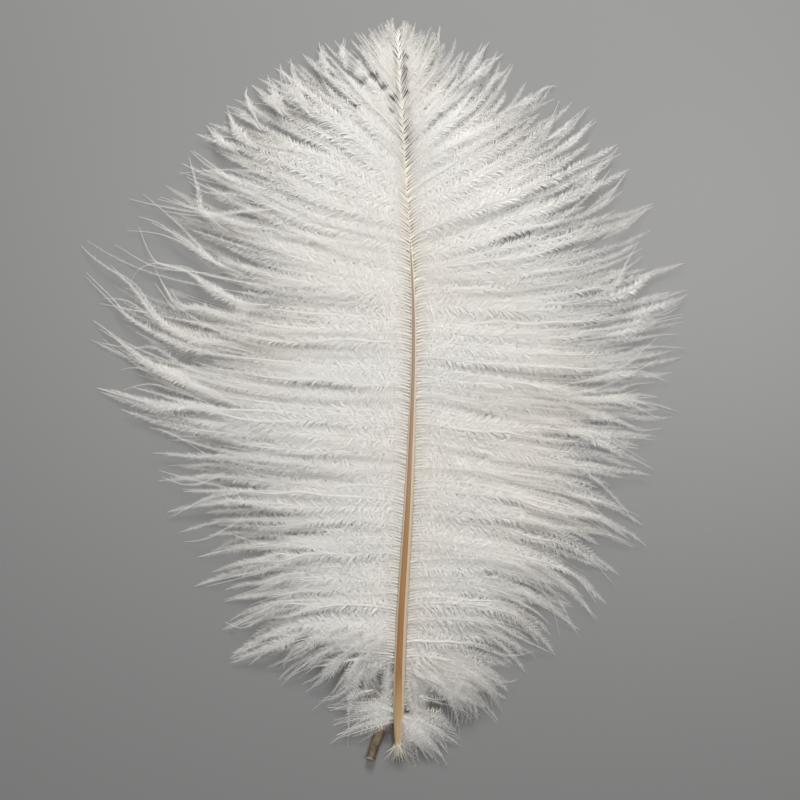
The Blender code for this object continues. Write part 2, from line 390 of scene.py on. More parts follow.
def keratinMaterial():
    material, graph, shader = newMaterial("plumeKeratin")
    place = graph.place()
    warmth = (graph.noise(place, keratin["patches"], 2.0) - keratin["patchLevel"]) * keratin["patchContrast"]
    fibres = graph.noise(place, keratin["fibres"], 1.0)
    colour = graph.mix(warmth, keratin["white"], keratin["warm"])
    colour = graph.mix(graph.painted("near") * keratin["rootShare"], colour, keratin["root"])
    # painted shade mixed in where the barbs lie deep
    colour = graph.mix(graph.painted("dusk"), colour, keratin["dusk"])
    paint(graph, shader, colour, fibres * keratin["roughnessSpan"] + keratin["roughness"])
    shader.inputs["Specular IOR Level"].default_value = keratin["specular"]
    shader.inputs["Sheen Weight"].default_value = keratin["sheen"]
    return material


# How the barbs of the vane run
barb = {
    "perSide": 220,
    "firstRoot": {"left": -108 * mm, "right": -122 * mm},  # nearer to the quill's end is only down
    "thinning": 9 * mm,  # over which the barbs nearest the down grow from their thinnest share
    "thinnest": 0.3,
    "crownSpread": 0.10,  # how much wider the barbs stand at the crown than half way along
    "crownStart": 35 * mm,  # root y between which the locks give way to single barbs
    "crownFull": 85 * mm,
    "tufts": [[1], [1, 1], [0.5, 1], [1, 0.6, 1]],  # how a lock may split, in shares
    "points": 26,
    "crowding": 1.6,  # how much closer the points are by the shaft
    "lateBend": 3.0,  # 2 bends a barb evenly, more bends it towards its tip
    "hook": 2.2 * mm,  # how far a barb runs up before it turns out
    "hookLength": 3.0 * mm,
    "sideReach": (0.84, 0.97),  # share of its way that a tuft goes, if it doesn't end at the lock's tip
    "barbReach": (0.68, 0.95),  # and share of the tuft that its barbs go
    "crownReach": (0.78, 1.0),
    "wispReach": (0.52, 0.70),
    "wisps": (-2 * mm, 46 * mm),  # root y on the left where the long wisps leave only short barbs
    "pull": (0.1, 0.6),  # how far a tuft that doesn't end at the lock's tip still aims at it
    "clump": (0.35, 0.92),  # how far the barbs of a tuft are drawn together at its tip
    "clumpStart": (0.35, 0.75),
    "crownClump": 0.35,
    "pinch": 0.8 * mm,  # how much narrower a tuft may be in places
    "pinches": [((0.2, 0.45), 2.4), ((0.5, 0.8), 2.8)],  # where along it, and at most how many times that
    "pinchWidth": 0.07,
    "bend": 1.6 * mm,  # how far a whole tuft waves to and fro, and how fast
    "bendTurns": 7,
    "wave": 0.7 * mm,  # and how far and fast a single barb does
    "waveTurns": 9,
    "splay": 2.9 * mm,  # and how far its tip strays to a side
    "splayFrom": 0.5,  # from this share of its length
    "lift": 0.8 * mm,  # how far a barb may lie above or below its lock
    "tuftLift": 1.4 * mm,  # and how far a whole tuft may, and be tilted
    "tilt": (-0.8 * mm, 0.5 * mm),
    "phases": (0, 6.28),
    "fluff": (0.8, 1.1),  # length of the barbules, as a share of the usual one
    "leadSteady": 0.3,  # share of the splay that a tuft's longest barb keeps
    "softFloor": 0.7 * mm,  # points under this height are eased to stay above the table
    "seed": 5,
}


def aimAt(side, root):
    # lock number, and tip x, tip y and slope, for a barb that starts anywhere on the shaft
    tips, flow = sides[side]
    number, slope = between(flow, root / mm)
    i = min(len(tips) - 2, int(number))
    return number, [a + (b - a) * (number - i) for a, b in zip(tips[i], tips[i + 1])] + [slope]


def makeLock(root, row, height):
    start = shaftPoint(root)
    cover = smoothStep(*feather["covered"], root)
    start.z += shaftWidth(root) * (cover * feather["coverRise"] - (1 - cover) * feather["rootDrop"])
    run = Vector((row[0] * mm - start.x, row[1] * mm - start.y, 0))
    chord = math.atan2(run.y, abs(run.x))
    return {"start": start, "run": run, "bow": run.length * math.tan(math.radians(row[2]) - chord),
            "height": height, "fullness": min(1.0, run.length / feather["fullLength"])}


def acrossRun(run):
    return Vector((-run.y, run.x, 0)).normalized() * (1 if run.x >= 0 else -1)


def lockPoint(lock, share):
    # an arc seen from above, humped and drooping
    start, run = lock["start"], lock["run"]
    hump = 4 * share * (1 - share)
    bend = share - share ** barb["lateBend"]
    point = Vector((start.x, start.y, 0)) + run * share + acrossRun(run) * lock["bow"] * bend
    lift = feather["tuftLift"] * lock["fullness"] * hump * (1 - share) ** feather["liftSkew"]
    point.z = start.z * (1 - share) ** feather["fall"] + lift + lock["height"] * share**2
    return point


def aboveTable(z):
    low = barb["softFloor"]
    return z if z > low else low * math.exp(z / low - 1)


def barbLine(own, tuft, place, reach, rng, steady=1.0):
    # points of one barb: own is how it would lie alone, tuft is what it is drawn to,
    # place is where it is in the tuft, -1 to 1, and steady is how far its tip may stray
    length = own["run"].length
    sideways = abs(own["run"].x) / length
    across = acrossRun(own["run"])
    full = tuft["fullness"]
    lift = rng.uniform(-1, 1) * barb["lift"] * full
    splay = rng.gauss(0, 1) * barb["splay"] * full * steady
    wave = rng.uniform(-1, 1) * barb["wave"]
    phase = rng.uniform(*barb["phases"])
    line = []
    for k in range(barb["points"]):
        share = reach * (k / (barb["points"] - 1)) ** barb["crowding"]
        away = share * length
        drawn = tuft["clump"] * smoothStep(tuft["clumpStart"], 1.0, share)
        point = lockPoint(own, share).lerp(lockPoint(tuft, share), drawn)
        hump = 4 * share * (1 - share)
        hook = barb["hook"] * (1 - math.exp(-away / barb["hookLength"])) * (1 - share) ** 2
        point.y += hook * sideways**3 * full
        for at, strength in tuft["pinches"]:
            point += across * (-place * strength * bump(at, barb["pinchWidth"], share))
        point += across * splay * ramp(barb["splayFrom"], 1.0, share) ** 2
        point += across * tuft["bend"] * hump * math.sin(tuft["phase"] + share * barb["bendTurns"])
        point += across * wave * hump * math.sin(phase + share * barb["waveTurns"])
        point.z += (lift + tuft["lift"] + place * tuft["tilt"]) * hump
        point.z = aboveTable(point.z)
        line.append((point, away, share / reach))
    return line


def splitList(items, shares):
    parts, at = [], 0
    for k in range(len(shares)):
        stop = round(len(items) * sum(shares[:k + 1]) / sum(shares))
        if stop > at:
            parts.append(items[at:stop])
        at = max(at, stop)
    return parts


def tuftBarbs(side, number, lockRoot, roots, rng):
    middle = sum(roots) / len(roots)
    half = max(1e-6, (roots[-1] - roots[0]) / 2)
    crown = smoothStep(barb["crownStart"], barb["crownFull"], middle)
    wispy = side == "left" and barb["wisps"][0] <= middle <= barb["wisps"][1]
    leads = roots[0] - 1 * mm <= lockRoot <= roots[-1] + 1 * mm  # such a tuft ends at the lock's tip
    aim = aimAt(side, middle)[1]
    pull = 1.0 if leads else rng.uniform(*barb["pull"])
    aim[:2] = [a + (b - a) * pull for a, b in zip(aim, sides[side][0][number])]
    reach = 1.0 if leads else rng.uniform(*barb["sideReach"])
    height = rng.choice(feather["tipHeights"])
    tuft = makeLock(middle, aim, height)
    full = tuft["fullness"]
    tuft["clump"] = rng.uniform(*barb["clump"]) * (1 - (1 - barb["crownClump"]) * crown)
    tuft["clumpStart"] = rng.uniform(*barb["clumpStart"])
    tuft["pinches"] = [(rng.uniform(*places), barb["pinch"] * rng.uniform(0, most) * full * (1 - crown))
                       for places, most in barb["pinches"]]
    tuft["lift"] = rng.uniform(-1, 1) * barb["tuftLift"] * full
    tuft["tilt"] = rng.uniform(*barb["tilt"]) * full
    tuft["bend"] = rng.uniform(-1, 1) * barb["bend"] * full
    tuft["phase"] = rng.uniform(*barb["phases"])
    lead = rng.randrange(len(roots))
    first = barb["firstRoot"][side]
    made = []
    for k, root in enumerate(roots):
        own = makeLock(root, aimAt(side, root)[1], height)
        far = rng.uniform(*barb["barbReach"])
        far = reach * (far + (rng.uniform(*barb["crownReach"]) - far) * crown)
        if k == lead:
            far = reach
        if wispy:
            far = rng.uniform(*barb["wispReach"])
        steady = barb["leadSteady"] if k == lead else 1.0
        line = barbLine(own, tuft, (root - middle) / half, far, rng, steady)
        grown = atLeast(barb["thinnest"], ramp(first, first + barb["thinning"], root))
        made.append({"line": line, "fullness": full, "fluff": rng.uniform(*barb["fluff"]) * grown,
                     "down": 1 - smoothStep(*feather["downBand"], root),
                     "crown": smoothStep(*feather["crownBand"], root)})
    return made


def vaneBarbs(side, rng):
    start, end = feather["vaneStart"], feather["vaneEnd"]
    locks = {}
    for i in range(barb["perSide"]):
        share = (i + 0.5) / barb["perSide"]
        share -= barb["crownSpread"] * share * (1 - share)
        root = start + (end - start) * share
        if root > barb["firstRoot"][side]:
            locks.setdefault(round(aimAt(side, root)[0]), []).append(root)
    barbs = []
    for number, roots in locks.items():
        for part in splitList(roots, rng.choice(barb["tufts"])):
            barbs += tuftBarbs(side, number, (roots[0] + roots[-1]) / 2, part, rng)
    return barbs


# Barbs that lie under the others and show in the gaps, and single ones that stray over them
extra = {
    "under": {"reach": (0.72, 0.93), "sway": 7 * mm, "lift": -2.2 * mm, "fluff": (0.9, 1.2)},
    "underPerSide": 90,
    "underDusk": (0.22, 0.55),  # how much painted shade they get
    "stray": {"reach": (0.72, 1.0), "sway": 15 * mm, "lift": 1.6 * mm, "fluff": (0.35, 0.7)},
    "strays": 36,
    "strayRoots": (-105 * mm, 125 * mm),
}


def looseBarb(side, root, kind, rng):
    # a single barb that belongs to no tuft, with its tip swayed along the outline
    sway = rng.uniform(-1, 1) * kind["sway"]
    reach = rng.uniform(*kind["reach"])
    own = makeLock(root, aimAt(side, root + sway)[1], rng.choice(feather["tipHeights"]))
    own.update(clump=0, clumpStart=0, pinches=[], lift=kind["lift"] * own["fullness"], tilt=0,
               bend=rng.uniform(-1, 1) * barb["bend"] * own["fullness"], phase=rng.uniform(*barb["phases"]))
    return {"line": barbLine(own, own, 0, reach, rng), "fullness": own["fullness"],
            "fluff": rng.uniform(*kind["fluff"])}


def looseBarbs(side, rng):
    made = []
    first = barb["firstRoot"][side]
    for i in range(extra["underPerSide"]):
        share = (i + rng.random()) / extra["underPerSide"]
        one = looseBarb(side, first + (feather["vaneEnd"] - first) * share, extra["under"], rng)
        # the barbs below get a share of painted shade, as if they lay in shade
        made.append({**one, "dusky": rng.uniform(*extra["underDusk"])})
    for _ in range(extra["strays"]):
        made.append(looseBarb(side, rng.uniform(*extra["strayRoots"]), extra["stray"], rng))
    return made


# Strands placed one by one: (fluff, how many lie together, height where they start, and their
# points as x, y from the vane outwards), all but the fluff and the number in millimetres
leftWisps = [
    (0.65, 3, 9, [(-52, 16), (-63.6, 18.6), (-76.8, 21.8), (-89.6, 29), (-101.6, 43.4), (-115.6, 53.4),
                  (-121.6, 59)]),
    (0.6, 2, 9, [(-50, 13), (-61.6, 14.6), (-76.8, 17), (-89.6, 22.6), (-102.4, 30.6), (-108, 37),
                 (-119.6, 48.2)]),
    (0.5, 1, 8, [(-60.8, 17), (-73.6, 19.4), (-89.6, 27.4), (-101.6, 36.2), (-112.8, 37.8)]),
    (0.3, 1, 8, [(-70, 47.5), (-84.8, 49), (-94.4, 51.4), (-108, 59.4)]),
    (0.7, 4, 9, [(-45.6, 34.6), (-57.6, 36.2), (-69.6, 41.8), (-78.4, 48.2), (-89.6, 51.4)]),
    (0.4, 1, 9, [(-57.6, 36.2), (-69.6, 41.8), (-78.4, 48.2), (-89.6, 51.4), (-94.4, 57), (-98.4, 66.6)]),
    (0.3, 1, 6, [(-80, 49.5), (-89.6, 51.4), (-94.4, 51), (-98.4, 49), (-101.6, 45)]),
    (0.6, 3, 8, [(-52, 29.5), (-62.4, 31.4), (-72, 33), (-82.4, 35.4), (-88, 42.6), (-92, 49.8)]),
    (0.5, 1, 8, [(-70, 33), (-79, 33.5), (-83, 33), (-86, 36), (-92, 44)]),
    (0.5, 2, 9, [(-41.6, 73), (-56, 72), (-70.4, 71.4), (-89.6, 74.6), (-102.4, 77.8)]),
    (0.4, 1, 7, [(-58, 46), (-67.6, 52.2), (-76.8, 61.8), (-84, 69), (-96.8, 79.8)]),
    (0.5, 2, 9, [(-45.6, 65), (-57.6, 67.4), (-72, 72.2), (-91.2, 77.8)]),
    (0.5, 2, 8, [(-56, 47), (-67.6, 52.2), (-80, 60.2), (-89.6, 67.4), (-98.4, 70.6)]),
    (0.4, 1, 8, [(-52, 45), (-63.6, 49.8), (-76.8, 57.8), (-89.6, 63.4), (-103.2, 65)]),
    (0.6, 1, 8, [(-62, 64), (-67.6, 68.2), (-72.8, 73.8), (-74.4, 81), (-76, 86.6), (-78.4, 94.6)]),
    (0.5, 2, 9, [(-43.6, 78.6), (-57.6, 83.4), (-70.4, 90.6), (-77.6, 97)]),
    (0.4, 1, 9, [(-34, 84), (-48.8, 87.4), (-65.6, 89), (-82.4, 87.8)]),
    (0.5, 2, 9, [(-48.8, 74.6), (-60.8, 77.8), (-70.4, 81.8), (-79.2, 86.6)]),
    (0.8, 3, 9, [(-56, -6), (-71.6, 0.2), (-85.6, 8.2), (-94.4, 12.2), (-105.6, 21), (-116.8, 29)]),
    (0.5, 1, 8, [(-66, 5), (-79.6, 10.6), (-91.2, 17.8), (-101.6, 17.8), (-115.2, 20.2)]),
    (0.5, 2, 8, [(-66, 0), (-77.6, 3.4), (-87.2, 6.6), (-99.2, 9.8), (-105.6, 9)]),
    (0.7, 3, 8, [(-60, -8), (-73.6, -6.2), (-89.6, -4.6), (-104, -1.4), (-115.2, 1.8)]),
    (0.4, 1, 7, [(-70, -4), (-81.6, 0.2), (-93.6, 3.4), (-104.8, 1)]),
    (0.7, 2, 8, [(-46, 33), (-54.4, 32.2), (-60, 29.8), (-63.2, 26.6), (-65.6, 22.6)]),
    (0.3, 1, 9, [(-17, -70), (-33.2, -78.2), (-48, -87), (-63.6, -95.4)]),
    (0.35, 2, 8, [(-38, -74), (-49.6, -79), (-64, -83)]),
    (0.4, 2, 8, [(-38, -68), (-52.8, -71.8), (-73.6, -76.6)]),
    (0.7, 3, 9, [(-30, -94), (-46.4, -101.4), (-61.6, -108.6)]),
    (0.4, 2, 9, [(-12, -88), (-24, -93.4), (-46.4, -103.8)]),
    (0.4, 3, 9, [(-18, -100), (-28.8, -106.2), (-40.8, -117)]),
    (0.4, 3, 9, [(-24, -98), (-35.2, -103.8), (-47.2, -110.6)]),
    (0.5, 3, 9, [(-14, -104), (-22.4, -113.4), (-31.6, -120.2)]),
    (0.3, 1, 7, [(-46, -88), (-56, -94), (-64, -92)]),
    (0.5, 4, 10, [(-8, -103), (-14, -111), (-19, -118), (-21, -124)]),
    (0.5, 4, 10, [(-12, -101), (-20, -108), (-27, -114), (-33, -117)]),
    (0.4, 3, 9, [(-6, -106), (-12, -115), (-18, -121), (-26, -124)]),
    (0.4, 2, 8, [(-36, -86), (-50, -89), (-62, -95)]),
    (0.4, 2, 8, [(-46, -60), (-60, -62), (-74, -66)]),
    (0.6, 3, 7, [(-57.6, 95), (-64.6, 100.6), (-68.4, 103.8), (-71.4, 107.4)]),
    (0.5, 2, 7, [(-48.8, 104.2), (-53.6, 109), (-58.4, 112.2), (-63.2, 115.4)]),
    (0.6, 3, 7, [(-50, 97), (-56.8, 103), (-60.8, 109), (-63.2, 114.6)]),
    (0.5, 3, 7, [(-50.4, 108.2), (-54, 114.2), (-55, 118.6), (-55, 122.6)]),
    (0.5, 3, 7, [(-40, 110), (-44.6, 116), (-48.8, 119.4), (-53, 123.2)]),
    (0.6, 4, 7, [(-38, 110), (-42.6, 116), (-44.8, 121.8), (-46.8, 127.4)]),
    (0.6, 4, 7, [(-30, 111), (-34.6, 117), (-39.2, 124.2), (-41.4, 131)]),
    (0.5, 3, 7, [(-31, 115), (-34.6, 121), (-36.4, 128.2), (-37.6, 134)]),
    (0.5, 4, 7, [(-22, 125), (-24.6, 131), (-25.2, 136.2), (-26.2, 140.6)]),
    (0.5, 3, 7, [(-15, 129), (-16.6, 135), (-16.4, 139), (-16.1, 142.6)]),
    (0.3, 1, 7, [(-56, -50), (-70, -58), (-80, -60)]),
    (0.4, 2, 8, [(-58, -40), (-72, -43), (-86, -50)]),
    (0.3, 1, 7, [(-60, -30), (-76, -37), (-89, -34)]),
]
rightWisps = [
    (0.5, 3, 7, [(31, 124), (35.2, 130.2), (39.2, 136.2), (42.4, 141)]),
    (0.5, 3, 7, [(30, 121), (36, 126.2), (42.4, 131.4), (48, 136.2)]),
    (0.4, 2, 7, [(41, 121), (45.2, 125.4), (48.4, 128.6), (50.8, 131.8)]),
    (0.4, 2, 7, [(45, 110), (52.4, 114.2), (59.6, 118.2), (64.8, 121.8), (68.4, 123.4)]),
    (0.4, 2, 7, [(47, 108), (54.4, 113), (60.8, 119), (66.4, 123)]),
    (0.4, 2, 7, [(59, 98), (64.4, 105), (67.6, 111), (70.4, 117.4)]),
    (0.5, 3, 7, [(64, 100), (71.2, 105), (76.8, 109.4), (82.4, 115)]),
    (0.5, 3, 7, [(66, 94), (73.2, 99), (79.6, 104.2), (85.2, 109)]),
    (0.5, 3, 7, [(72, 78), (80.4, 84.2), (88, 91.8), (94, 98.6)]),
    (0.4, 2, 7, [(80, 72), (86.4, 77), (92.4, 82.2), (97.2, 88.2)]),
    (0.4, 2, 7, [(87, 61), (94.4, 65), (100.8, 69.4), (106.4, 75)]),
    (0.5, 1, 8, [(80, 36), (91.7, 42.3), (96.4, 51), (101.7, 60)]),
    (0.5, 1, 8, [(72, 38), (86.4, 44.3), (97.7, 50.3), (103.7, 54.7)]),
    (0.7, 2, 9, [(76, 35), (89, 37.7), (97, 40.3), (103.7, 44.3), (107.7, 48.3), (120.4, 52)]),
    (0.6, 2, 9, [(84, 28), (99, 31.7), (110.4, 34.3), (117, 36.3), (121.4, 39.3)]),
    (0.6, 2, 9, [(80, 24), (97, 27), (103.7, 29), (111.7, 32.3), (118.4, 35.7)]),
    (0.6, 2, 9, [(74, 20), (92.4, 23), (102.4, 25.7), (110.4, 28.3), (119.4, 30.3)]),
    (0.5, 1, 9, [(74, 19), (90.4, 21), (102.4, 21.7), (110.4, 23), (117.7, 23.3)]),
    (0.5, 1, 8, [(82, 12), (95, 15), (102.4, 17.7), (110.4, 18.3), (121.6, 17.7)]),
    (0.4, 1, 8, [(80, 3), (92.4, 9), (99, 13), (105, 18.3), (110.4, 22.7)]),
    (0.6, 2, 9, [(72, 3), (87, 5.7), (98.4, 7.7), (106.4, 6.7), (114, 4.3)]),
    (0.4, 1, 8, [(78, 0), (92.4, 1), (99, 3), (108.4, 4)]),
    (0.5, 2, 8, [(76, -2), (94.4, -1.7), (102.4, -1), (109.7, -1.7)]),
    (0.6, 2, 9, [(66, -2), (83.7, -3), (97, -3.7), (107.7, -4.7), (118, -7.7)]),
    (0.4, 1, 8, [(82, -2), (98.4, -5), (105, -7.7), (110.4, -11)]),
    (0.6, 2, 9, [(68, -4), (83.7, -8.3), (92.4, -11), (102.4, -15), (111.7, -14.3)]),
    (0.6, 2, 9, [(62, -14), (83.7, -16.3), (97, -17.7), (108.7, -19)]),
    (0.6, 2, 9, [(66, -12), (83.7, -19), (97, -25), (108.4, -31)]),
    (0.4, 2, 9, [(62, -38), (78, -42), (92, -45), (103, -50)]),
    (0.3, 1, 8, [(66, -36), (80, -43), (92, -53), (101, -58)]),
    (0.4, 2, 8, [(60, -52), (76, -55), (90, -57), (102, -62)]),
    (0.3, 1, 8, [(56, -54), (72, -60), (84, -68), (92, -77)]),
    (0.3, 1, 9, [(30, -74), (45.6, -78), (60, -82), (73.6, -88.2)]),
    (0.4, 2, 9, [(46, -77), (56, -79.5), (63.2, -83.8), (78.6, -95.6)]),
    (0.4, 2, 8, [(58, -68), (69.6, -74.2), (78, -82), (85, -92)]),
    (0.4, 2, 8, [(62, -67), (74.4, -71.8), (80, -77), (85.2, -84.6)]),
    (0.3, 2, 8, [(44, -84), (56.8, -91), (63.2, -95.4)]),
    (0.3, 2, 8, [(46, -80), (60, -87), (67.6, -93.8)]),
    (0.4, 2, 8, [(40, -90), (53.6, -97.4), (68.6, -105.4)]),
    (0.4, 2, 8, [(36, -93), (48.8, -99), (60.8, -106.2)]),
    (0.3, 1, 7, [(36, -101), (50.4, -105.2), (60, -103.8)]),
    (0.3, 1, 7, [(36, -111), (48, -115.6), (54, -115)]),
    (0.4, 2, 9, [(26, -107), (38.4, -114.2), (47.2, -122.2)]),
    (0.4, 2, 9, [(20, -109), (33.6, -114.2), (49.2, -118.2)]),
    (0.4, 2, 9, [(18, -108), (28.8, -115), (38.4, -125.4)]),
]
downStrands = [
    (0.5, 2, 8, [(-5, -104), (-12.8, -119.4), (-14.1, -130.6), (-14.6, -142.9)]),
    (0.25, 1, 9, [(-11, -104), (-15.4, -111.8), (-21.4, -120.6), (-28.8, -127.4)]),
    (0.25, 1, 5, [(-1.6, -134.7), (-9.8, -140.3)]),
    (0.55, 8, 7, [(5, -127), (-6, -125), (-22.5, -126.6)]),
    (0.55, 8, 6, [(5, -128.5), (-6, -128), (-20, -131.6)]),
    (0.55, 8, 6, [(5, -130), (-6, -131.5), (-19, -137.5)]),
    (0.5, 5, 6, [(5, -131), (-8, -135), (-20.2, -139.3)]),
    (0.5, 4, 7, [(-4, -118.5), (-13, -121), (-20, -126)]),
    (0.55, 9, 6, [(7, -132), (10, -140), (12.2, -148.5)]),
    (0.55, 9, 7, [(7, -131), (13, -139), (18, -148.2)]),
    (0.55, 9, 7, [(7, -130), (15, -139), (22, -149)]),
    (0.55, 9, 7, [(7, -129.5), (17, -138), (25.4, -149.5)]),
    (0.55, 9, 7, [(7, -129), (18, -135), (25.7, -144.9)]),
    (0.55, 9, 7, [(7, -128.5), (19, -134), (31, -142)]),
    (0.4, 5, 7, [(7, -128), (19, -131.5), (30.3, -138.3)]),
    (0.7, 8, 12, [(11, -107), (13, -114), (15, -124), (17, -134)]),
    (0.7, 8, 12, [(11, -109), (13.4, -116), (15.2, -124), (18, -132)]),
    (0.6, 8, 9, [(10.6, -112), (11, -120), (12, -130), (13.5, -140)]),
    (0.6, 8, 9, [(10.4, -116), (12, -124), (16, -133), (20, -142)]),
    (0.6, 6, 7, [(13, -127), (21, -130.5), (28, -135)]),
    (0.5, 6, 8, [(1.5, -104), (1.2, -112), (1, -120), (-1, -128)]),
    (0.5, 6, 8, [(2, -108), (1.6, -116), (1.4, -123), (0, -129), (-5, -133)]),
    (0.5, 6, 12.5, [(11, -111), (18, -114), (25, -118.5), (27.5, -125), (27, -131)]),
    (0.5, 8, 12.5, [(13, -112), (22, -116), (28.5, -122), (31, -128), (31.5, -133)]),
    (0.45, 7, 12, [(18, -114), (27, -118), (33, -123), (35, -129), (35, -132)]),
    (0.45, 6, 12, [(24, -113), (33, -117), (39, -123), (41, -129)]),
    (0.45, 6, 11, [(30, -111), (39, -115), (44, -121), (46, -127)]),
    (0.6, 5, 11, [(10, -110), (13.5, -116), (15.5, -120), (16.5, -124.5)]),
    (0.5, 6, 11, [(12, -108), (22, -114.5), (27, -124), (26.8, -134.7)]),
    (0.5, 6, 11.5, [(14, -108), (24, -117), (29.5, -126), (28.5, -135.7)]),
    (0.5, 6, 11.5, [(16, -107), (26, -116), (32, -124), (35, -133)]),
    (0.5, 6, 11.5, [(18, -106), (30, -114), (36, -121), (40, -128)]),
    (0.5, 6, 11.5, [(20, -105), (33, -111), (41, -118), (45, -126)]),
    (0.5, 6, 11.5, [(22, -102), (36, -107), (44, -113), (49.4, -119)]),
    (0.25, 1, 9, [(22, -110), (35, -121), (45.6, -133.2)]),
    (0.5, 5, 10, [(4.2, -103), (0, -102.5), (-5.5, -107), (-6.5, -116), (-2, -122.5), (3, -126)]),
    (0.5, 5, 10, [(4.2, -105.5), (0.5, -105), (-4.5, -109), (-5, -116), (-1, -121.5), (4, -124)]),
    (0.4, 5, 10, [(4.2, -107.5), (1.5, -107.5), (-3.4, -111), (-3.6, -116), (0, -120), (5, -121.5)]),
    (0.4, 5, 8, [(4, -108.5), (2.6, -110.5), (1.6, -114), (2.4, -118.5), (5, -122)]),
    (0.4, 4, 7.5, [(4, -110), (3, -113), (2.8, -117), (3.4, -122)]),
    (0.5, 4, 9, [(3.8, -112), (2.6, -116.5), (1.6, -120), (-1.5, -125), (-8, -127)]),
    (0.6, 6, 12, [(1, -97), (-5, -102), (-10, -108), (-13, -115), (-15, -121)]),
    (0.6, 6, 12, [(-2, -96), (-11, -102), (-18, -109), (-23, -117)]),
    (0.6, 6, 12, [(-8, -94), (-18, -100), (-27, -106), (-34, -115)]),
    (0.6, 6, 12, [(-14, -92), (-26, -97), (-36, -103), (-42, -111)]),
    (0.6, 6, 8.5, [(-7, -108), (-10, -114), (-15, -120), (-22, -124)]),
    (0.6, 6, 8, [(3.6, -118), (1, -123), (-7, -125), (-16, -125)]),
    (0.6, 6, 7.5, [(3.6, -121), (1, -125.5), (-7, -127.5), (-15, -128)]),
]
# and strands darkened by painted shade, put at the bottom of the gaps where only shade shows
paintedShadeStrands = [
    (0.7, 5, 4, [(5, -110), (0, -114), (-6, -120)]),
    (0.7, 6, 4, [(8, -122), (15, -125), (22, -129)]),
    (0.7, 5, 4, [(8, -126), (15, -128), (23, -131)]),
    (0.7, 8, 5, [(15, -118), (19, -123), (21.5, -129)]),
    (0.7, 4, 3, [(3, -120), (-6, -121), (-14, -122)]),
    (0.5, 6, 3.5, [(5, -133), (1, -137), (-1, -141)]),
    (0.5, 5, 3.5, [(7, -133), (9, -136), (10, -140)]),
    (0.4, 6, 6.5, [(3.8, -131), (2.0, -135), (1.4, -139)]),
    (0.4, 6, 6.5, [(7.8, -130), (8.8, -134.5), (9, -139)]),
    (0.4, 5, 4, [(-6, 128), (-1, 122), (4, 114)]),
    (0.4, 5, 4, [(9, 131), (8, 122), (7, 114)]),
]

# How the strands run
strand = {
    "points": 22,
    "jitter": {"wisp": 1.7 * mm, "down": 2.4 * mm},  # how far those that lie together may stray
    "startJitter": 0.35,  # share of that where they start
    "heightJitter": (-0.6, 0.3),
    "shortest": 0.72,
    "fluff": (0.85, 1.1),  # of the row's own
    "startAway": 12 * mm,  # a strand starts as a barb is this far from the shaft
    "rises": 0.3,  # share of its length over which its barbules grow
    "thins": 0.4,  # and how much shorter they get towards its tip
    "thinFrom": 0.4,  # from this share of it
    "tipHeight": 1.2 * mm,
    "fall": 1.5,
    # share of painted shade on the strands at the bottom of the gaps
    "dusk": 0.9,
}


def strandLine(knots, reach):
    # a smooth curve through the knots, up to reach of its length
    line, away = [], strand["startAway"]
    for k in range(strand["points"]):
        done = k / (strand["points"] - 1)
        point = smoothSpan(knots, *spanAt(knots, done * reach))
        point.z = aboveTable(point.z)
        if line:
            away += (point - line[-1][0]).length
        line.append((point, away, done))
    return line


def placedStrands(rows, kind, rng, dusky=0.0):
    made = []
    for fluff, together, high, places in rows:
        knots = []
        for k, (x, y) in enumerate(places):
            share = k / (len(places) - 1)
            fall = (high * mm - strand["tipHeight"]) * share ** strand["fall"]
            knots.append(Vector((x * mm, y * mm, high * mm - fall)))
        for k in range(together):
            moved = []
            for i, knot in enumerate(knots):
                far = strand["jitter"][kind] * (1.0 if i else strand["startJitter"]) if k else 0.0
                stray = (rng.uniform(-1, 1), rng.uniform(-1, 1), rng.uniform(*strand["heightJitter"]))
                moved.append(knot + Vector(stray) * far)
            reach = rng.uniform(strand["shortest"], 1.0) if k else 1.0
            made.append({"line": strandLine(moved, reach), "fullness": 1.0, "placed": True, "dusky": dusky,
                         "down": float(kind == "down"), "fluff": fluff * rng.uniform(*strand["fluff"])})
    return made


barbRng = random.Random(barb["seed"])
vanes = {side: vaneBarbs(side, barbRng) for side in sides}
leftExtra = looseBarbs("left", barbRng) + placedStrands(leftWisps, "wisp", barbRng)
rightExtra = looseBarbs("right", barbRng) + placedStrands(rightWisps, "wisp", barbRng)
rootDown = placedStrands(downStrands, "down", barbRng)
# the strands at the bottom of the gaps get painted shade
rootDown += placedStrands(paintedShadeStrands, "down", barbRng, strand["dusk"])
print("barb lines:", len(vanes["left"]), "left,", len(vanes["right"]), "right,",
      len(leftExtra) + len(rightExtra) + len(rootDown), "extra")


# Gaps where the photo shows the vane parted: (x, y, radius) in millimetres
gaps = [
    (20.3, -128, 3.2), (-31, -101, 4.2), (-25, -103, 3.0), (-1.4, -113.6, 1.5), (-8, -121.5, 2.6),
    (76, -70, 3.2), (-66, 38, 5), (-74, 36, 5), (-60, 41, 3), (-3.2, 125.8, 1.8), (-0.4, 121.8, 2.0),
    (7.6, 128.6, 2.0), (7.6, 125, 2.0), (8.8, 119, 1.6), (-10.8, 135, 1.3), (-13.6, 138.6, 1.3),
    (-12.4, 129.4, 1.3), (-7.2, 124.6, 1.3), (-10, 113, 1.1), (3.4, 117, 1.7), (2.8, 112, 1.4),
    (8.4, 134, 1.6),
]
gapEdge = 1.3 * mm
gapHair = 0.9  # how much shorter the barbules are in a gap


def openness(point):
    # 1 in the middle of a gap and 0 outside it
    most = 0.0
    for x, y, radius in gaps:
        off = math.hypot(point.x - x * mm, point.y - y * mm)
        most = max(most, 1 - smoothStep(radius * mm - gapEdge / 2, radius * mm + gapEdge, off))
    return most


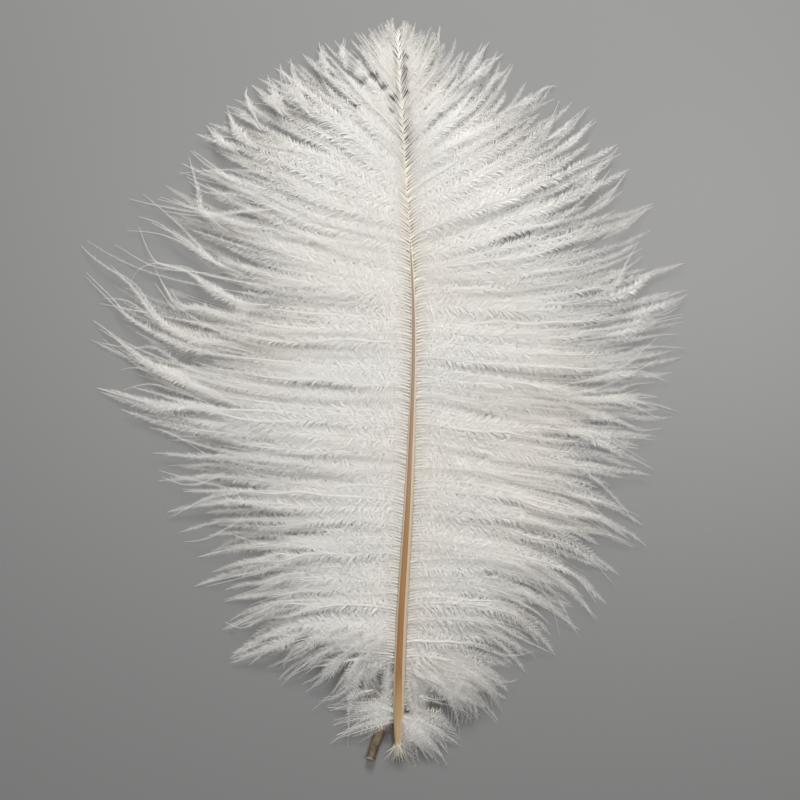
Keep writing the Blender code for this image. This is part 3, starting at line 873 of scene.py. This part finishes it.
# Sizes of a barb's three parts, which change along it: 0 is its root and 1 its tip
stemSizes = {
    "root": 0.40 * mm,
    "tip": 0.06 * mm,
    "fade": 2.6 * mm,  # distance from the shaft over which it thins to its least share
    "least": 0.06,
    "crownThin": 0.5,
    "crown": 0.13 * mm,
    "crownFade": 5 * mm,
    "taper": 0.6,
    "sides": 3,
}
webSizes = {
    "half": 0.95 * mm,
    "rootShare": 0.6,
    "start": 0.5 * mm,
    "full": 8 * mm,
    "ends": (0.45, 0.80),
    "crown": 0.7,
    "crownFrom": (2 * mm, 6 * mm),
    "flatness": 0.10,
    "drop": 0.55 * mm,
}
hairSizes = {
    "length": 4.4 * mm,
    "rootShare": 0.25,  # of the length at the shaft
    "grows": (0.5 * mm, 7 * mm),  # and the distances from it between which that rises to all
    "tipShare": 0.32,  # near the barb's tip
    "taperFrom": 0.45,
    "taper": 0.8,
    "pointShare": 0.15,  # and at its very point
    "pointFrom": 0.94,
    "thinShare": 0.55,  # on the thinnest barbs
    "downFull": 0.5,  # down counts as a barb of at least this fullness
    "crown": 0.72,  # at the crown
    "crownBare": 0.68,  # how much of that goes at the barb's root
    "crownFrom": (2 * mm, 7 * mm),
    "sweeps": [(0, 58), (4 * mm, 58), (30 * mm, 36)],  # degrees to the barb, by distance from the shaft
    "tipSweep": 31,
    "tipSweepFrom": 0.72,
    "downSweep": 22,
    "spacing": 0.17 * mm,
    "crownSpacing": 0.13 * mm,
    "downSpacing": 0.24 * mm,
    "width": 0.06,  # of a barbule's length
    "waist": 0.42,  # where along it a barbule is widest
    "sag": 0.06,
    "bend": 0.16,
    "roll": 0.4,
    "rise": (-0.22, 0.16),
    "sweepRange": (0.55, 1.45),
    "sizeRange": (0.55, 1.3),
    "seed": 3,
}
# How far from the shaft its warm tint reaches, and where the painted shade of the barbs that lie deep starts
tint = {"fade": 2.5 * mm, "least": 0.2, "duskFrom": (3 * mm, 11 * mm)}


def barbMeasures(away, done, fullness, fluff, down, crown):
    # sizes along a barb: away is metres from the shaft, done is 0 at the root and 1 at the tip, down is
    # how much of it is the soft down by the quill's end, and crown is how far into the crown it starts
    stem = stemSizes["root"] * atLeast(stemSizes["least"], math.exp(-away / stemSizes["fade"]))
    stem *= 1 - stemSizes["crownThin"] * crown**2
    stem += stemSizes["crown"] * crown * math.exp(-away / stemSizes["crownFade"])
    stem = stem * (1 - done) ** stemSizes["taper"] + stemSizes["tip"]
    web = webSizes["half"] * (1 - ramp(*webSizes["ends"], done))
    web *= atLeast(webSizes["rootShare"], ramp(webSizes["start"], webSizes["full"], away))
    web *= 1 - (1 - webSizes["crown"] * ramp(*webSizes["crownFrom"], away)) * crown
    hair = hairSizes["length"] * atLeast(hairSizes["rootShare"], ramp(*hairSizes["grows"], away))
    hair *= 1 - (1 - hairSizes["tipShare"]) * ramp(hairSizes["taperFrom"], 1.0, done) ** hairSizes["taper"]
    hair *= atLeast(hairSizes["pointShare"], ramp(1.0, hairSizes["pointFrom"], done))
    hair *= atLeast(hairSizes["thinShare"], max(fullness, hairSizes["downFull"] * down))
    hair *= fluff * (1 - (1 - hairSizes["crown"]) * crown)
    hair *= 1 - hairSizes["crownBare"] * crown * (1 - ramp(*hairSizes["crownFrom"], away))
    sweep = between(hairSizes["sweeps"], away)[0]
    sweep += (hairSizes["tipSweep"] - sweep) * ramp(hairSizes["tipSweepFrom"], 1.0, done)
    sweep += hairSizes["downSweep"] * down
    near = math.exp(-away / (tint["fade"] * (1 + crown))) * atLeast(tint["least"], fullness)
    return {"stem": stem, "web": web * fluff * (1 - down), "hair": hair,
            "sweep": math.radians(sweep), "near": near}


def measuredLine(one, first):
    # the points of a barb from first metres off the shaft, each with the sizes it has there
    line = []
    for point, away, done in one["line"]:
        if away < first:
            continue
        fluff, parted = one["fluff"], 0.0
        if "placed" in one:  # such a strand runs through the gaps, and its barbules grow and thin
            fluff *= ramp(0, strand["rises"], done)
            fluff *= 1 - strand["thins"] * ramp(strand["thinFrom"], 1.0, done)
        else:
            parted = openness(point)
        values = barbMeasures(away, done, one["fullness"], fluff, one.get("down", 0.0), one.get("crown", 0.0))
        values["web"] *= 1 - parted
        values["hair"] *= 1 - gapHair * parted
        # painted shade on barbs that lie deep, none close by the shaft
        values["dusk"] = one.get("dusky", 0.0) * ramp(*tint["duskFrom"], away)
        line.append((point, values))
    return line


# A barb is a three-sided stem, a thin web either side of it, and its barbules
def stemTree(material):
    graph, given = newTree("barbStems", {"Sides": "Int"})
    stem = tubeAlong(graph, levelCurve(graph, given["Geometry"]), circle(graph, given["Sides"]), "stem")
    return closeTree(graph, stem, material)


def webTree(material):
    graph, given = newTree("barbWebs", {"Flatness": "Float", "Drop": "Float", "Floor": "Float"})
    flat = graph.vector(1.0, given["Flatness"], 1.0)
    ring = graph.add("GeometryNodeTransform", None, {"Geometry": circle(graph, 4), "Scale": flat})
    web = tubeAlong(graph, levelCurve(graph, given["Geometry"]), ring, "web")
    down = graph.vector(0.0, 0.0, 0.0 - given["Drop"])
    web = graph.add("GeometryNodeSetPosition", None, {"Geometry": web, "Offset": down})
    return closeTree(graph, smoothShaded(graph, keptAbove(graph, web, given["Floor"])), material)


def barbuleShape(graph, width, bend):
    # a kite of two triangles, pointed at both ends, whose far point is bent to one side
    sheet = graph.add("GeometryNodeMeshGrid", None,
                      {"Size X": 1.0, "Size Y": 1.0, "Vertices X": 2, "Vertices Y": 2})
    corner = graph.split(graph.add("GeometryNodeInputPosition"))
    a = corner["X"] + 0.5
    b = corner["Y"] + 0.5
    along = (a + b) * hairSizes["waist"] + a * b * (1 - 2 * hairSizes["waist"])
    side = (b - a) * width * 0.5 + a * b * bend
    point = graph.vector(along, side, a * b * -hairSizes["sag"])
    shape = graph.add("GeometryNodeSetPosition", None, {"Geometry": sheet, "Position": point})
    return graph.add("GeometryNodeGeometryToInstance", None, {0: shape})


def barbuleTree(material):
    graph, given = newTree("barbules", {"Spacing": "Float", "Width": "Float", "Bend": "Float",
                                        "Roll": "Float", "Floor": "Float", "Seed": "Int"})
    line = levelCurve(graph, given["Geometry"], "CATMULL_ROM")
    line = graph.add("GeometryNodeResampleCurve", {"mode": "LENGTH"},
                     {"Curve": line, "Length": given["Spacing"]})
    number = graph.add("GeometryNodeInputIndex")
    odd = number.maths("MODULO", 2.0)
    shapes = graph.add("GeometryNodeJoinGeometry", None, {"Geometry": [
        barbuleShape(graph, given["Width"], bend) for bend in (given["Bend"] * -1.0, given["Bend"])]})
    stance = graph.add("FunctionNodeAxesToRotation", {"primary_axis": "X", "secondary_axis": "Z"},
                       {"Primary Axis": graph.add("GeometryNodeInputTangent"),
                        "Secondary Axis": (0.0, 0.0, 1.0)})
    sweep = graph.measure("sweep") * graph.chance(*hairSizes["sweepRange"], given["Seed"])
    roll = graph.chance(-1.0, 1.0, given["Seed"] + 1.0) * given["Roll"]
    rise = graph.chance(*hairSizes["rise"], given["Seed"] + 2.0)
    turn = graph.vector(roll, rise, sweep * (1.0 - odd * 2.0))  # every other one to the other side
    turn = graph.add("FunctionNodeEulerToRotation", None, [turn])
    stance = graph.add("FunctionNodeRotateRotation", {"rotation_space": "LOCAL"}, [stance, turn])
    size = graph.measure("hair") * graph.chance(*hairSizes["sizeRange"], given["Seed"] + 3.0)
    hairs = graph.add("GeometryNodeInstanceOnPoints", None, {
        "Points": line, "Instance": shapes, "Pick Instance": True, "Instance Index": odd,
        "Rotation": stance, "Scale": size})
    hairs = graph.add("GeometryNodeRealizeInstances", None, {"Geometry": hairs})
    return closeTree(graph, keptAbove(graph, hairs, given["Floor"]), material)


white = keratinMaterial()
plume = {
    "stems": (stemTree(white), {"Sides": stemSizes["sides"]}),
    "webs": (webTree(white), {
        "Flatness": webSizes["flatness"], "Drop": webSizes["drop"], "Floor": barb["softFloor"]}),
    "barbules": (barbuleTree(white), {
        "Spacing": hairSizes["spacing"], "Width": hairSizes["width"], "Bend": hairSizes["bend"],
        "Roll": hairSizes["roll"], "Floor": barb["softFloor"], "Seed": hairSizes["seed"]}),
}


def growPlume(kind, name, barbs, **own):
    tree, usual = plume[kind]
    first = webSizes["start"] if kind == "webs" else 0.0
    makePiece(name, [measuredLine(one, first) for one in barbs], tree, {**usual, **own})


for side, barbs in vanes.items():
    growPlume("stems", f"barb_stems_{side}", barbs)
    growPlume("webs", f"barb_webs_{side}", barbs)
    third = (len(barbs) + 2) // 3
    growPlume("barbules", f"barbules_{side}_root", barbs[:third])
    growPlume("barbules", f"barbules_{side}_middle", barbs[third:2 * third])
    growPlume("barbules", f"barbules_{side}_crown", barbs[2 * third:], Spacing=hairSizes["crownSpacing"])
growPlume("stems", "loose_stems", leftExtra + rightExtra + rootDown)
growPlume("barbules", "loose_barbules_left", leftExtra)
growPlume("barbules", "loose_barbules_right", rightExtra)
growPlume("barbules", "down_barbules", rootDown, Spacing=hairSizes["downSpacing"])

shaft = {
    "steps": 140,
    "ends": -142.5 * mm,  # under the frayed tuft
    # section as (across, up) in shares of its width: the strip is round 0, and the shoulder on
    # the right is wider than the one on the left
    "section": [(0.0, -0.50), (0.34, -0.44), (0.64, -0.26), (0.80, 0.04), (0.76, 0.22), (0.62, 0.32),
                (0.44, 0.37), (0.40, 0.44), (0.22, 0.49), (0.0, 0.50), (-0.22, 0.49), (-0.40, 0.44),
                (-0.44, 0.37), (-0.56, 0.28), (-0.61, 0.06), (-0.52, -0.24), (-0.28, -0.44)],
    "amber": linear(172, 127, 82),
    "amberDark": linear(142, 102, 58),
    "grey": linear(156, 134, 110),
    "greyDark": linear(134, 112, 90),
    "pale": linear(204, 176, 130),
    "cream": linear(204, 190, 168),
    "creamTop": linear(212, 203, 188),
    "greyBand": (-65 * mm, 20 * mm),  # y between which the amber turns grey, and the cream paler
    "paleBand": (-112 * mm, -134 * mm),  # and between which it turns pale by the quill's end
    "stripEdge": (0.03, -0.02),
    "streaks": (1800.0, 60.0, 1800.0),
    "roughness": 0.35,
    "roughnessSpan": 0.15,
}
# share of the width that the amber strip takes, at y in millimetres
stripShares = [(-146, 0.9), (-123, 0.79), (-99, 0.71), (-67, 0.70), (-35, 0.62), (-3, 0.68), (29, 0.72),
               (57, 0.50), (66, 0.0)]
# the barbs lie over its shoulders towards the tip, so that less of its width shows: (y, share)
shownShares = [(-40, 1.0), (-10, 0.9), (29, 0.78), (55, 0.65), (146, 0.65)]


def shaftMaterial():
    material, graph, shader = newMaterial("shaftHorn")
    across = graph.painted("across")
    place = graph.place()
    y = graph.split(place)["Y"]
    inside = graph.fade(across.maths("ABSOLUTE") - graph.painted("strip") * 0.5, *shaft["stripEdge"])
    streaks = graph.add("ShaderNodeMapping", None, {"Vector": place, "Scale": shaft["streaks"]})
    streaks = graph.noise(streaks, 1.0, 3.0)
    high = graph.fade(y, *shaft["greyBand"])
    strip = graph.mix(streaks, graph.mix(high, shaft["amberDark"], shaft["greyDark"]),
                      graph.mix(high, shaft["amber"], shaft["grey"]))
    strip = graph.mix(graph.fade(y, *shaft["paleBand"]), strip, shaft["pale"])
    colour = graph.mix(inside, graph.mix(high, shaft["cream"], shaft["creamTop"]), strip)
    paint(graph, shader, colour, streaks * shaft["roughnessSpan"] + shaft["roughness"])
    return material


def shaftTree(material):
    graph, given = newTree("shaft", {"Section": "Object"})
    section = graph.add("GeometryNodeObjectInfo", None, {"Object": given["Section"]}, "Geometry")
    section = graph.add("GeometryNodeMeshToCurve", None, {"Mesh": section})
    tube = tubeAlong(graph, levelCurve(graph, given["Geometry"]), section, "width")
    return closeTree(graph, smoothShaded(graph, tube), material)


def makeShaft():
    ring = shaft["section"]
    mesh = bpy.data.meshes.new("shaftSection")
    mesh.from_pydata([(x, z * feather["heightToWidth"], 0) for x, z in ring],
                     [(i, (i + 1) % len(ring)) for i in range(len(ring))], [])
    mesh.attributes.new("across", "FLOAT", "POINT").data.foreach_set("value", [x for x, _ in ring])
    section = addObject("shaftSection", mesh)
    first, final = shaft["ends"], shaftLine[-1][1] * mm
    line = []
    for step in range(shaft["steps"] + 1):
        y = first + (final - first) * step / shaft["steps"]
        width = shaftWidth(y) * between(shownShares, y / mm)[0]
        line.append((shaftPoint(y), {"width": width, "strip": between(stripShares, y / mm)[0]}))
    makePiece("shaft", [line], shaftTree(shaftMaterial()), {"Section": section})
    drop(section)


# Split root beside the quill: (x, y, z, width) in millimetres, from the quill outwards
splitRoot = {
    "points": [(6.2, -115, 7.8, 1.6), (4.6, -122, 5.0, 2.6), (1.4, -129, 3.1, 3.3),
               (-1.4, -135.5, 2.1, 3.6), (-3.6, -141.0, 1.9, 3.5), (-5.0, -145.0, 2.1, 3.6),
               (-5.7, -146.9, 2.8, 3.7)],
    "sides": 16,
    "steps": 36,
    "rough": 0.56 * mm,  # height of its bumps, and their scale
    "bumps": 420.0,
    "sheath": linear(110, 101, 78),
    "brown": linear(78, 63, 49),
    "cut": linear(222, 196, 180),
    "flake": linear(140, 128, 102),
    "flakes": 700.0,
    "flakeContrast": 1.6,
    "flakeLevel": 0.55,
    "sheathEnd": (-137 * mm, -138.5 * mm),  # y between which the sheath gives way to brown
    "raggedness": 4 * mm,
    "roughness": 0.5,
    "roughnessSpan": 0.3,
}


def splitRootMaterial():
    material, graph, shader = newMaterial("rootHorn")
    place = graph.place()
    flakes = graph.noise(place, splitRoot["flakes"], 3.0)
    ends = graph.fade(graph.split(place)["Y"] + flakes * splitRoot["raggedness"], *splitRoot["sheathEnd"])
    colour = graph.mix(ends, splitRoot["sheath"], splitRoot["brown"])
    flaked = flakes * splitRoot["flakeContrast"] - splitRoot["flakeLevel"]
    colour = graph.mix(flaked, colour, splitRoot["flake"])
    colour = graph.mix(graph.painted("cut"), colour, splitRoot["cut"])
    paint(graph, shader, colour, flakes * splitRoot["roughnessSpan"] + splitRoot["roughness"])
    return material


def splitRootTree(material):
    graph, given = newTree("splitRoot", {"Sides": "Int", "Rough": "Float"})
    tube = tubeAlong(graph, levelCurve(graph, given["Geometry"]), circle(graph, given["Sides"]), "radius")
    bumps = graph.noise(graph.add("GeometryNodeInputPosition"), splitRoot["bumps"], 1.0, "Color")
    bumps = graph.add("ShaderNodeVectorMath", {"operation": "SUBTRACT"}, {0: bumps, 1: (0.5, 0.5, 0.5)})
    bumps = graph.add("ShaderNodeVectorMath", {"operation": "SCALE"},
                      {"Vector": bumps, "Scale": given["Rough"]})
    tube = graph.add("GeometryNodeSetPosition", None, {"Geometry": tube, "Offset": bumps})
    return closeTree(graph, tube, material)


def makeSplitRoot():
    knots = [Vector(p[:3]) * mm for p in splitRoot["points"]]
    widths = [p[3] * mm for p in splitRoot["points"]]
    line = []
    for step in range(splitRoot["steps"] + 1):
        i, share = spanAt(knots, step / splitRoot["steps"])
        width = widths[i] + (widths[i + 1] - widths[i]) * share
        cut = float(step == splitRoot["steps"])
        line.append((smoothSpan(knots, i, share), {"radius": width / 2, "cut": cut}))
    sizes = {"Sides": splitRoot["sides"], "Rough": splitRoot["rough"]}
    makePiece("split_root", [line], splitRootTree(splitRootMaterial()), sizes)


# Frayed end of the quill: short pale splinters
fray = {
    "count": 90,
    "from": (5.6 * mm, -139.5 * mm, 4.6 * mm),
    "scatter": ((-1, 1), (-2, 1), (-1, 0.6)),  # round that place, in millimetres along x, y and z
    "length": (3 * mm, 8.5 * mm),
    "spread": 20,
    "droop": (-0.45, -0.1),
    "curl": 2 * mm,
    "points": 7,
    "thick": 0.17 * mm,
    "tip": 0.03 * mm,
    "taper": 0.7,
    "sides": 4,
    "colour": linear(238, 235, 226),
    "shade": linear(214, 208, 188),
    "shades": 500.0,
    "roughness": 0.6,
    "seed": 8,
}


def frayMaterial():
    material, graph, shader = newMaterial("frayedHorn")
    shades = graph.noise(graph.place(), fray["shades"], 1.0)
    paint(graph, shader, graph.mix(shades, fray["colour"], fray["shade"]), fray["roughness"])
    return material


def makeFray():
    rng = random.Random(fray["seed"])
    lines = []
    for _ in range(fray["count"]):
        angle = math.radians(rng.gauss(-90, fray["spread"]))
        length = rng.uniform(*fray["length"])
        start = Vector(fray["from"]) + Vector([rng.uniform(*span) for span in fray["scatter"]]) * mm
        ahead = Vector((math.cos(angle), math.sin(angle), rng.uniform(*fray["droop"])))
        curl = Vector((rng.uniform(-1, 1), 0, 0)) * fray["curl"]
        line = []
        for k in range(fray["points"]):
            share = k / (fray["points"] - 1)
            point = start + ahead * length * share + curl * share**2
            point.z = aboveTable(point.z)
            line.append((point, {"stem": fray["thick"] * (1 - share) ** fray["taper"] + fray["tip"]}))
        lines.append(line)
    makePiece("frayed_end", lines, stemTree(frayMaterial()), {"Sides": fray["sides"]})


makeShaft()
makeSplitRoot()
makeFray()

# A grey table in a dim room
table = {"half": 3, "grey": (0.219, 0.223, 0.228, 1), "roughness": 0.42}
light = {
    "room": (1.0, 0.99, 0.98, 1),
    "roomStrength": 0.12,
    "lampColour": (1.0, 0.98, 0.95),
    "lamps": {  # as place, width and power
        "window": ((0.05, 0.76, 0.66), 0.34, 7.6),
        "right": ((0.28, 0.10, 0.85), 0.25, 2.6),
        "left": ((-0.14, 0.08, 0.85), 0.20, 1.3),
    },
}
view = {"centre": (6.4 * mm, -3.0 * mm), "across": 320 * mm, "height": 800 * mm, "level": 4 * mm}


def makeFloor():
    half = table["half"]
    mesh = bpy.data.meshes.new("floor")
    mesh.from_pydata([(-half, -half, 0), (half, -half, 0), (half, half, 0), (-half, half, 0)],
                     [], [(0, 1, 2, 3)])
    floor = addObject("floor", mesh)
    material, graph, shader = newMaterial("floorGrey")
    paint(graph, shader, table["grey"], table["roughness"])
    mesh.materials.append(material)


def makeLight():
    world = bpy.data.worlds.new("softRoom")
    world.use_nodes = True
    background = world.node_tree.nodes["Background"]
    background.inputs["Color"].default_value = light["room"]
    background.inputs["Strength"].default_value = light["roomStrength"]
    bpy.context.scene.world = world
    for name, (place, width, power) in light["lamps"].items():
        lamp = bpy.data.lights.new(name, "AREA")
        lamp.shape, lamp.size, lamp.energy = "DISK", width, power
        lamp.color = light["lampColour"]
        thing = addObject(name, lamp)
        thing.location = place
        thing.rotation_euler = (-thing.location).to_track_quat("-Z", "Y").to_euler()


def makeCamera():
    data = bpy.data.cameras.new("camera")
    camera = addObject("camera", data)
    camera.location = (*view["centre"], view["height"])
    data.lens = data.sensor_width * (view["height"] - view["level"]) / view["across"]
    data.clip_start = 0.01
    bpy.context.scene.camera = camera


makeFloor()
makeLight()
makeCamera()
bpy.context.scene.view_settings.view_transform = "Standard"
print("stage, light and camera in place")
